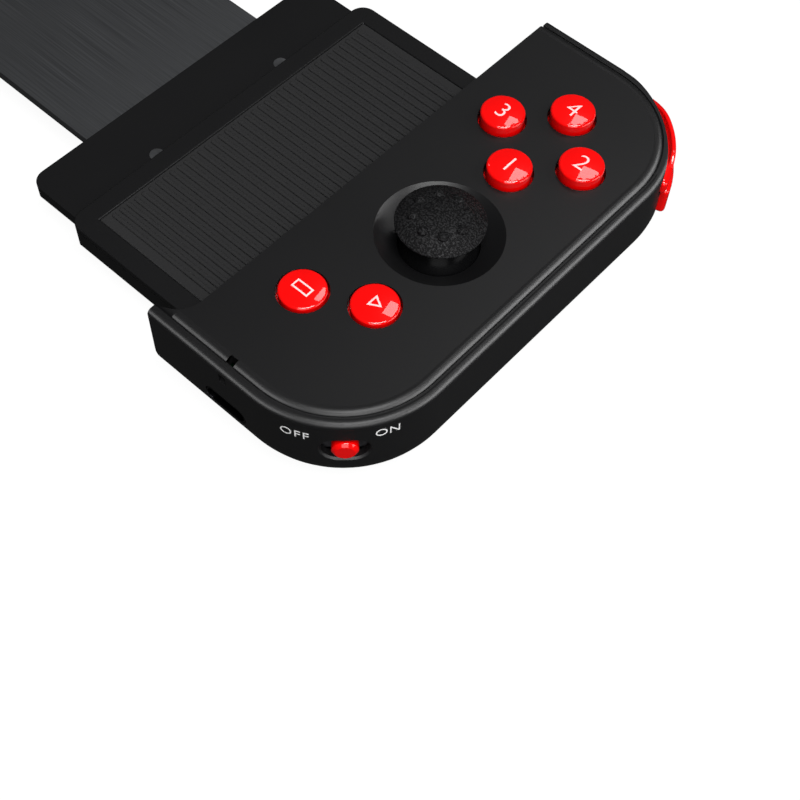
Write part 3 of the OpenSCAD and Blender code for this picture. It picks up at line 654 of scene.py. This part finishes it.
def stick(side):
    """A domed rubber cap with a ring of bumps, and the polished skirt under it."""
    cap = f"{side}_stick_cap"
    stem = f"{side}_stick_stem"
    low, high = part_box(cap)
    middle = (low + high) / 2
    r = (high.x - low.x) / 2
    rim_z = low.z + cap_rim
    rise = high.z - rim_z
    dome_r = (r * r + rise * rise) / (2 * rise)
    reach = math.asin(r / dome_r)
    points = [(0, low.z), (r - cap_taper, low.z)]
    for ring in range(dome_rings, -1, -1):
        lean = reach * ring / dome_rings
        points.append((dome_r * math.sin(lean), high.z - dome_r * (1 - math.cos(lean))))
    bm = turned(points, middle, 96)
    soften(bm, sharp_edges(bm), cap_edge, 4)
    lean = math.asin(bump_ring / dome_r)
    for k in range(bump_count):
        turn = TURN * k / bump_count
        spot = Vector((middle.x + bump_ring * math.cos(turn), middle.y + bump_ring * math.sin(turn),
                       high.z - dome_r * (1 - math.cos(lean)) - bump_sink))
        bump = bmesh.new()
        bmesh.ops.create_uvsphere(bump, u_segments=28, v_segments=16, radius=bump_r)
        bmesh.ops.scale(bump, verts=bump.verts, vec=(1, 1, bump_flat))
        bmesh.ops.translate(bump, verts=bump.verts, vec=spot)
        join(bm, bump)
    piece(bm, cap + "_cover", body_of(cap), cap_rubber, [cap])
    bm = merged_copy(stem)
    piece(bm, stem + "_skirt", body_of(stem), skirt_abs, [stem])


cap_rim = 0.9 * MM
cap_taper = 1 * MM
cap_edge = 0.4 * MM
dome_rings = 24
bump_count = 8
bump_ring = 4.5 * MM
bump_r = 1 * MM
bump_flat = 0.5
bump_sink = 0.05 * MM
for side in SIDES:
    stick(side)


# Shoulder buttons

def shoulder_band(side, node, height, end_angle, tip_round, crest=0):
    """A band bent round the upper outer corner, with rounded tips, a web and an eye on the pin."""
    low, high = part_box(node)
    high.z = low.z + height
    reach = high.y - upper_corner.y
    start = Matrix.Rotation(end_angle, 4, "Z")
    bm = bmesh.new()
    corners = [(band_inner, low.z), (reach, low.z), (reach, high.z), (band_inner, high.z)]
    verts = [bm.verts.new(start @ Vector((r, 0, z))) for r, z in corners]
    bm.faces.new(verts)
    bmesh.ops.bevel(bm, geom=verts[1:3], offset=band_edge, affect="VERTICES", segments=6, profile=0.5,
                    material=-1)
    bent = bmesh.ops.spin(bm, geom=bm.faces[:], cent=(0, 0, 0), axis=(0, 0, 1),
                          angle=math.pi / 2 - end_angle, steps=24)
    last = [f for f in bent["geom_last"] if isinstance(f, bmesh.types.BMFace)]
    drawn = bmesh.ops.extrude_face_region(bm, geom=last)
    bmesh.ops.delete(bm, geom=last, context="FACES_ONLY")
    ends = [v for v in drawn["geom"] if isinstance(v, bmesh.types.BMVert)]
    bmesh.ops.translate(bm, verts=ends, vec=(band_end - upper_corner.x, 0, 0))
    close(bm)
    tips = [f for f in bm.faces if len(f.verts) > 4]
    soften(bm, list({e for f in tips for e in f.edges}), tip_round, 5)
    bmesh.ops.translate(bm, verts=bm.verts, vec=upper_corner)
    eye = pin_spot - upper_corner
    web = Matrix.Translation(upper_corner) @ Matrix.Rotation(math.atan2(eye.y, eye.x), 4, "Z")
    arm = block(Vector((eye.xy.length, -web_half, low.z + web_inset)),
                Vector((band_inner + web_sink, web_half, high.z - web_inset)), web_edge)
    bmesh.ops.transform(arm, matrix=web, verts=arm.verts)
    join(bm, arm)
    bore = pin_r + pin_gap
    ring = [(bore, low.z), (eye_r, low.z), (eye_r, high.z), (bore, high.z), (bore, low.z)]
    join(bm, turned(ring, pin_spot, 40))
    if crest:
        join(bm, shoulder_crest(high.z, crest, reach - crest_inset))
    if side == "left":
        bmesh.ops.scale(bm, verts=bm.verts, vec=(-1, 1, 1))
    close(bm)
    piece(bm, node + "_band", body_of(node), red_abs, [node])


def shoulder_crest(foot, rise, outer):
    """The ridge on the upper shoulder button, outside the rim's lip. It runs out towards both ends."""
    inner = corner_r - crest_inset
    top = foot + rise
    section = [(inner, foot - crest_sink), (outer, foot - crest_sink)]
    section += arc((outer - crest_outer_r, top - crest_outer_r), crest_outer_r, 0, 90, 6)
    section += arc((inner + crest_inner_r, top - crest_inner_r), crest_inner_r, 90, 180, 4)
    bm = swept(section, upper_run(*crest_span))
    for v in bm.verts:
        turn = math.degrees(math.atan2(v.co.y - upper_corner.y, v.co.x - upper_corner.x))
        first, last = turn - crest_span[0], crest_span[1] - turn
        share = min(1, first / crest_fade[0], last / crest_fade[1])
        if v.co.z > foot:
            v.co.z = foot + (v.co.z - foot) * math.sin(max(0, share) * math.pi / 2)
    return bm


crest_span = (26, 71)
crest_fade = (7, 18)
crest_inset = 0.1 * MM
crest_sink = 0.9 * MM
crest_outer_r, crest_inner_r = 0.4 * MM, 0.3 * MM
bumper_h, bumper_crest = 2.8 * MM, 1.6 * MM
trigger_h = 5.9 * MM
band_end = 88 * MM
band_inner = 18.2 * MM
band_edge = 0.8 * MM
eye_r = 2.8 * MM
pin_gap = 0.05 * MM
web_half, web_inset = 2 * MM, 0.5 * MM
web_sink, web_edge = 0.9 * MM, 0.2 * MM
for side in SIDES:
    shoulder_band(side, f"{side}_bumper", bumper_h, math.radians(15), 1 * MM, bumper_crest)
    shoulder_band(side, f"{side}_trigger", trigger_h, math.radians(19), 1.3 * MM)


# Power switch and charging port

def switch_knob():
    """A round knob with a chamfered face on a neck, which slides in the wall's recess."""
    low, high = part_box("power_switch_knob")
    middle = (low + high) / 2
    bm = bmesh.new()
    bmesh.ops.create_circle(bm, cap_ends=True, radius=knob_r, segments=64)
    made = bmesh.ops.extrude_face_region(bm, geom=bm.faces[:])
    front = [f for f in made["geom"] if isinstance(f, bmesh.types.BMFace)]
    bmesh.ops.translate(bm, verts=[v for f in front for v in f.verts], vec=(0, 0, knob_t))
    close(bm)
    rim = [e for e in sharp_edges(bm) if all(v.co.z > knob_t / 2 for v in e.verts)]
    soften(bm, rim, knob_chamfer, 1)
    ridges = [e for e in bm.edges if e.calc_face_angle() > math.radians(25)
              and all(v.co.z > knob_t / 2 for v in e.verts)]
    soften(bm, ridges, knob_edge)
    neck = bmesh.new()
    bmesh.ops.create_cone(neck, cap_ends=True, radius1=neck_r, radius2=neck_r, depth=neck_l, segments=24)
    bmesh.ops.translate(neck, verts=neck.verts, vec=(0, 0, neck_sink - neck_l / 2))
    join(bm, neck)
    face = Matrix.Rotation(switch_angle, 4, "Z") @ Matrix.Rotation(math.pi / 2, 4, "Y")
    reach = corner_r + knob_out - knob_t
    spot = lower_corner + Vector((reach * math.cos(switch_angle), reach * math.sin(switch_angle), middle.z))
    bmesh.ops.transform(bm, matrix=Matrix.Translation(spot) @ face, verts=bm.verts)
    piece(bm, "power_switch_knob_cap", "power_switch_knob", red_abs, ["power_switch_knob"])


knob_r = 2.2 * MM
knob_out = 0.5 * MM
knob_t = 2.4 * MM
knob_chamfer = 0.55 * MM
knob_edge = 0.1 * MM
neck_r, neck_l = 0.8 * MM, 1.6 * MM
neck_sink = 0.05 * MM
switch_knob()


def port_tongue():
    """The nylon tongue inside the charging port with its two rows of gold contacts."""
    low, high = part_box("charging_port")
    middle = (low + high) / 2
    tip = low.y + port_depth
    leaf = block(Vector((middle.x, tip, middle.z)) - leaf_half,
                 Vector((middle.x, high.y - port_back, middle.z)) + leaf_half, leaf_edge)
    piece(leaf, "port_tongue", "right_grip", tongue_nylon)
    bm = bmesh.new()
    for k in range(contact_count):
        x = middle.x + (k - (contact_count - 1) / 2) * contact_pitch
        for face in (-1, 1):
            spot = Vector((x, tip + contact_in, middle.z + face * leaf_half.z))
            join(bm, block(spot - contact_half, spot + contact_half, contact_edge, 1))
    piece(bm, "port_contacts", "right_grip", gold)


port_depth, port_back = 0.98 * MM, 0.9 * MM
leaf_half = Vector((3.27, 0, 0.37)) * MM
leaf_edge = 0.12 * MM
contact_count, contact_pitch = 6, 1 * MM
contact_in = 2.6 * MM
contact_half = Vector((0.2, 2, 0.03)) * MM
contact_edge = 0.01 * MM
mould("charging_port", 0.08 * MM, finish=black_nickel)
port_tongue()


# Pads

def ribbed_pad(node, out, face):
    """A rubber pad with a row of rounded ribs. out is the axis that its face looks along, face the way."""
    low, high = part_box(node)
    along = 2 - out
    base_low, base_high = low.copy(), high.copy()
    rib_low, rib_high = low.copy(), high.copy()
    if face > 0:
        base_high[out] -= rib_h
        rib_low[out] = base_high[out] - rib_w / 2
    else:
        base_low[out] += rib_h
        rib_high[out] = base_low[out] + rib_w / 2
    rib_low[along] += rib_margin
    rib_high[along] -= rib_margin
    bm = block(base_low, base_high, 0.15 * MM)
    count = int((high.y - low.y - 2 * rib_margin) / rib_pitch)
    for k in range(count):
        y = (low.y + high.y) / 2 + (k - (count - 1) / 2) * rib_pitch
        rib_low.y, rib_high.y = y - rib_w / 2, y + rib_w / 2
        join(bm, block(rib_low, rib_high, 0.25 * MM, 3))
    piece(bm, node + "_rubber", body_of(node), pad_rubber, [node])


rib_h = 0.35 * MM
rib_w = 0.9 * MM
rib_pitch = 1.7 * MM
rib_margin = 0.8 * MM
for side, way in SIDES.items():
    ribbed_pad(f"{side}_tray_pad", 2, 1)
    ribbed_pad(f"{side}_wall_pad", 0, -way)


# Screws

def screw(head_r, head_t, shank_r, shank_l):
    """A screw along +z from its face at the origin: a cross recess in a rounded head, and a plain shank."""
    arm, width, depth = head_r * 0.62, head_r * 0.16, head_t * 0.5
    bm = bmesh.new()
    bmesh.ops.create_circle(bm, cap_ends=True, radius=head_r, segments=48)
    for axis in (Vector((1, 0, 0)), Vector((0, 1, 0))):
        for place in (-arm, -width, width, arm):
            bmesh.ops.bisect_plane(bm, geom=bm.verts[:] + bm.edges[:] + bm.faces[:], plane_co=axis * place,
                                   plane_no=axis)
    rim = [e for e in bm.edges if e.is_boundary]
    slot = []
    for f in bm.faces:
        near, far = sorted(abs(c) for c in f.calc_center_median().xy)
        if near < width and far < arm:
            slot.append(f)
    sunk = bmesh.ops.extrude_face_region(bm, geom=slot)
    floor = [v for v in sunk["geom"] if isinstance(v, bmesh.types.BMVert)]
    bmesh.ops.translate(bm, verts=floor, vec=(0, 0, depth))
    bmesh.ops.scale(bm, verts=floor, vec=(0.8, 0.8, 1))
    wall = bmesh.ops.extrude_edge_only(bm, edges=rim)
    back = [v for v in wall["geom"] if isinstance(v, bmesh.types.BMVert)]
    bmesh.ops.translate(bm, verts=back, vec=(0, 0, head_t))
    bmesh.ops.holes_fill(bm, edges=[e for e in bm.edges if e.is_boundary])
    close(bm)
    face_rim = [e for e in sharp_edges(bm)
                if all(v.co.z < MERGE and v.co.xy.length > head_r - MERGE for v in e.verts)]
    soften(bm, face_rim, head_t * 0.3, 4)
    shank = [(0, head_t / 2), (shank_r, head_t / 2), (shank_r, shank_l - shank_r), (0.3 * shank_r, shank_l),
             (0, shank_l)]
    join(bm, turned(shank, Vector((0, 0, 0)), 24))
    return bm


def side_screws(side, way):
    """A grip's screws: four from the back through the case, and two along the tray into the grip."""
    node = f"{side}_screws"
    low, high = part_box(node)
    made = bmesh.new()
    for x, y, degrees in case_screws:
        one = screw(*case_screw, high.z - low.z)
        turn = Matrix.Rotation(math.radians(degrees), 3, "Z")
        bmesh.ops.rotate(one, verts=one.verts, cent=(0, 0, 0), matrix=turn)
        bmesh.ops.translate(one, verts=one.verts, vec=(way * x * MM, y * MM, low.z))
        join(made, one)
    for x, y, z in tray_screws:
        one = screw(*tray_screw, tray_screw_l)
        turn = Matrix.Rotation(way * math.pi / 2, 3, "Y")
        bmesh.ops.rotate(one, verts=one.verts, cent=(0, 0, 0), matrix=turn)
        bmesh.ops.translate(one, verts=one.verts, vec=(way * x * MM, y * MM, z * MM))
        join(made, one)
    piece(made, node + "_heads", body_of(node), black_screw, [node])


# A screw's head radius, head thickness and shank radius; places in mm, and the turn of a cross in degrees
case_screw = (1.9 * MM, 1.7 * MM, 1 * MM)
case_screws = [(86.5, 32.3, 45.5), (107, 7.8, 189), (86.5, -18.7, 45.5), (106, -30.7, 182)]
tray_screw = (1.6 * MM, 1.5 * MM, 1 * MM)
tray_screw_l = 8.9 * MM
tray_screws = [(76.1, -23.5, 7.05), (76.1, 16.5, 7.05)]
for side, way in SIDES.items():
    side_screws(side, way)


# Springs

def coil(radius, wire, length, turns):
    """A coil of round wire along +z from the origin."""
    steps = 20
    bm = bmesh.new()
    bmesh.ops.create_circle(bm, radius=wire, segments=8, matrix=Matrix.Translation((radius, 0, wire))
                            @ Matrix.Rotation(math.pi / 2, 4, "X"))
    rise = (length - 2 * wire) / (steps * turns)
    bmesh.ops.spin(bm, geom=bm.verts[:] + bm.edges[:], cent=(0, 0, 0), axis=(0, 0, 1), dvec=(0, 0, rise),
                   angle=TURN * turns, steps=steps * turns)
    bmesh.ops.holes_fill(bm, edges=[e for e in bm.edges if e.is_boundary])
    close(bm)
    return bm


def clamp_springs(side):
    """The two coils that pull the slide in."""
    node = f"{side}_clamp_springs"
    low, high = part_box(node)
    r = (high.z - low.z) / 2
    made = bmesh.new()
    for y in (low.y + r, high.y - r):
        one = coil(r - clamp_wire, clamp_wire, high.x - low.x, clamp_turns)
        turn = Matrix.Rotation(math.pi / 2, 3, "Y")
        bmesh.ops.rotate(one, verts=one.verts, cent=(0, 0, 0), matrix=turn)
        bmesh.ops.translate(one, verts=one.verts, vec=(low.x, y, low.z + r))
        join(made, one)
    spring = piece(made, node + "_wire", body_of(node), zinc, [node])
    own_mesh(spring)


def shoulder_springs(side, way):
    """The two flat coils on the shoulder buttons' pin."""
    node = f"{side}_shoulder_springs"
    low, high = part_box(node)
    made = bmesh.new()
    for z in (low.z, high.z - pin_coil_h):
        one = coil(pin_coil_r, pin_coil_wire, pin_coil_h, 1)
        bmesh.ops.translate(one, verts=one.verts, vec=(way * pin_spot.x, pin_spot.y, z))
        join(made, one)
    piece(made, node + "_wire", body_of(node), zinc, [node])


clamp_wire, clamp_turns = 0.2 * MM, 34
pin_coil_r, pin_coil_h, pin_coil_wire = 1.8 * MM, 0.4 * MM, 0.15 * MM
for side, way in SIDES.items():
    clamp_springs(side)
    shoulder_springs(side, way)


# Membranes

def membrane(node, buttons):
    """A silicone sheet with a dome under each button."""
    sheet_top = board_top + sheet_t
    bm = merged_copy(node)
    bmesh.ops.bisect_plane(bm, geom=bm.verts[:] + bm.edges[:] + bm.faces[:], plane_co=(0, 0, sheet_top),
                           plane_no=(0, 0, 1), clear_outer=True)
    bmesh.ops.holes_fill(bm, edges=[e for e in bm.edges if e.is_boundary])
    close(bm)
    upper = [e for e in sharp_edges(bm) if all(v.co.z > sheet_top - MERGE for v in e.verts)]
    soften(bm, upper, sheet_edge, 2)
    piece(bm, node + "_sheet", body_of(node), dome_silicone, [node])
    for name in buttons:
        low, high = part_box(name)
        middle = (low + high) / 2
        r = (high.x - low.x) / 2 - flange_lip
        top = low.z - dome_gap
        waist = (sheet_top + top) / 2
        points = [(0, sheet_top), (r - dome_foot, sheet_top), (r - dome_waist, waist),
                  (r - dome_neck, top - dome_neck_l), (r - dome_neck, top), (0, top)]
        bm = turned(points, middle, 40)
        soften(bm, sharp_edges(bm), dome_edge, 2)
        dome = piece(bm, name + "_dome", body_of(node), dome_silicone)
        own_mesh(dome)


sheet_edge = 0.2 * MM
# How far a dome's foot, waist and neck stand in from its button's outline
dome_foot, dome_waist, dome_neck = 0.6 * MM, 1 * MM, 1.8 * MM
dome_gap = 0.05 * MM
dome_neck_l = 0.4 * MM
dome_edge = 0.15 * MM
membrane("face_membrane", face_buttons)
membrane("arrow_membrane", [f"arrow_button_{way}" for way in arrow_turns])
membrane("select_start_membrane", ["select_button", "start_button"])
membrane("turbo_home_membrane", ["turbo_button", "home_button"])


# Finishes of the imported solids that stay
kept = {"battery": foil, "power_switch_body": grey_nylon, "bridge_rivets": zinc}
for side in SIDES:
    kept[f"{side}_board"] = board_mask
    kept[f"{side}_stick_base"] = grey_nylon
    kept[f"{side}_stick_gimbal"] = grey_nylon
    kept[f"{side}_shoulder_pin"] = zinc
for node, finish in kept.items():
    slots = frame["nodes"][node].data.materials
    slots.clear()
    slots.append(finish)


# Stage, lights and camera

def pale_floor():
    """A floor that shows white to the camera, dimly in gloss, and keeps a soft shadow."""
    made, tree, _ = material("pale_floor")
    ray = add(tree, "LightPath").outputs
    gloss = add(tree, "Math", {0: ray["Is Glossy Ray"], 1: ray["Is Transmission Ray"]}, operation="MAXIMUM")
    dimmed = add(tree, "Math", {0: gloss.outputs[0], 1: 0.03}, operation="MULTIPLY")
    seen = add(tree, "Math", {0: ray["Is Camera Ray"], 1: dimmed.outputs[0]}, operation="MAXIMUM")
    glow = add(tree, "Math", {0: seen.outputs[0], 1: 0.94}, operation="MULTIPLY")
    tone = add(tree, "MixRGB", {"Fac": gloss.outputs[0], "Color1": linear("#505050"),
                                "Color2": linear("#101010")})
    base = add(tree, "BsdfDiffuse", {"Color": tone.outputs[0]})
    white = add(tree, "Emission", {"Color": (1, 1, 1, 1), "Strength": glow.outputs[0]})
    surface(tree, add(tree, "AddShader", {0: base.outputs[0], 1: white.outputs[0]}))
    bm = bmesh.new()
    bmesh.ops.create_grid(bm, x_segments=2, y_segments=2, size=3)
    mesh = bpy.data.meshes.new("floor")
    bm.to_mesh(mesh)
    bm.free()
    mesh.materials.append(made)
    floor = bpy.data.objects.new("floor", mesh)
    bpy.context.scene.collection.objects.link(floor)


def studio_world():
    """A world that shows white to the camera and only fills the shadows a little."""
    world = bpy.data.worlds.new("studio")
    world.use_nodes = True
    tree = world.node_tree
    tree.nodes.clear()
    seen = add(tree, "LightPath").outputs["Is Camera Ray"]
    glow = add(tree, "MapRange", {"Value": seen, "To Min": 0.05, "To Max": 1})
    back = add(tree, "Background", {"Color": (1, 1, 1, 1), "Strength": glow.outputs[0]})
    add(tree, "OutputWorld", {"Surface": back.outputs[0]})
    bpy.context.scene.world = world


def softbox(name, direction, distance, size, power, pieces=None):
    """A soft rectangular lamp that faces the right grip. An edge lamp only shows in its pieces' gloss."""
    lamp = bpy.data.lights.new(name, "AREA")
    lamp.shape = "RECTANGLE"
    lamp.size, lamp.size_y = size
    lamp.energy = power
    holder = bpy.data.objects.new(name, lamp)
    aim = Vector(direction).normalized()
    holder.location = look_at + aim * distance
    holder.rotation_mode = "QUATERNION"
    holder.rotation_quaternion = aim.to_track_quat("Z", "Y")
    if pieces:
        holder.visible_diffuse = False
        holder.light_linking.receiver_collection = pieces
    bpy.context.scene.collection.objects.link(holder)


def lamp_pieces(name, endings):
    """Collects the pieces of both grips that an edge lamp shows in."""
    made = bpy.data.collections.new(name)
    for side in SIDES:
        for ending in endings:
            made.objects.link(bpy.data.objects[f"{side}_{ending}"])
    return made


def photo_camera():
    """A camera close to the right grip, at the photograph's angle."""
    azimuth, elevation, roll = (math.radians(a) for a in camera_turns)
    back = Vector((math.sin(azimuth) * math.cos(elevation), -math.cos(azimuth) * math.cos(elevation),
                   math.sin(elevation)))
    right = Vector((math.cos(azimuth), math.sin(azimuth), 0))
    up = back.cross(right)
    across = math.cos(roll) * right + math.sin(roll) * up
    above = -math.sin(roll) * right + math.cos(roll) * up
    data = bpy.data.cameras.new("camera")
    data.lens = camera_lens
    data.clip_start = 0.01
    camera = bpy.data.objects.new("camera", data)
    turn = Matrix((across, above, back)).transposed().to_4x4()
    camera.matrix_world = Matrix.Translation(look_at + camera_distance * back) @ turn
    bpy.context.scene.collection.objects.link(camera)
    bpy.context.scene.camera = camera


edge_names = ["rim_edge", "plate_edge", "rear_shell_finish"]
edge_pieces = lamp_pieces("edge_pieces", edge_names)
plate_pieces = lamp_pieces("plate_pieces", edge_names + ["front_plate_finish", "seam_tongue"])
look_at = Vector((115.65, -33.73, 20)) * MM
camera_turns = (39.42, 58.2, 3.1)
camera_distance = 208.02 * MM
camera_lens = 61.008
pale_floor()
softbox("overhead_softbox", (-0.14, 0.52, 0.83), 1.5, (0.37, 0.37), 1.8)
softbox("front_softbox", (0.35, -0.15, 1), 0.8, (0.5, 0.4), 7.8)
softbox("corner_softbox", (0.62, -0.66, 0.42), 0.7, (0.55, 0.45), 1.5)
softbox("right_softbox", (0.95, 0.35, 0.15), 0.7, (0.5, 0.4), 1.5)
softbox("right_edge_lamp", (0.88, 0.25, 0.36), 0.7, (0.55, 0.45), 6, edge_pieces)
softbox("back_edge_lamp", (0.5, 0.72, 0.42), 0.7, (0.5, 0.4), 5.5, plate_pieces)
softbox("corner_edge_lamp", (0.64, -0.57, 0.5), 0.7, (0.5, 0.4), 3.5, edge_pieces)
softbox("lower_edge_lamp", (-0.33, -0.85, 0.42), 0.7, (0.55, 0.45), 5, edge_pieces)
photo_camera()

studio_world()
bpy.context.scene.view_settings.view_transform = "Standard"
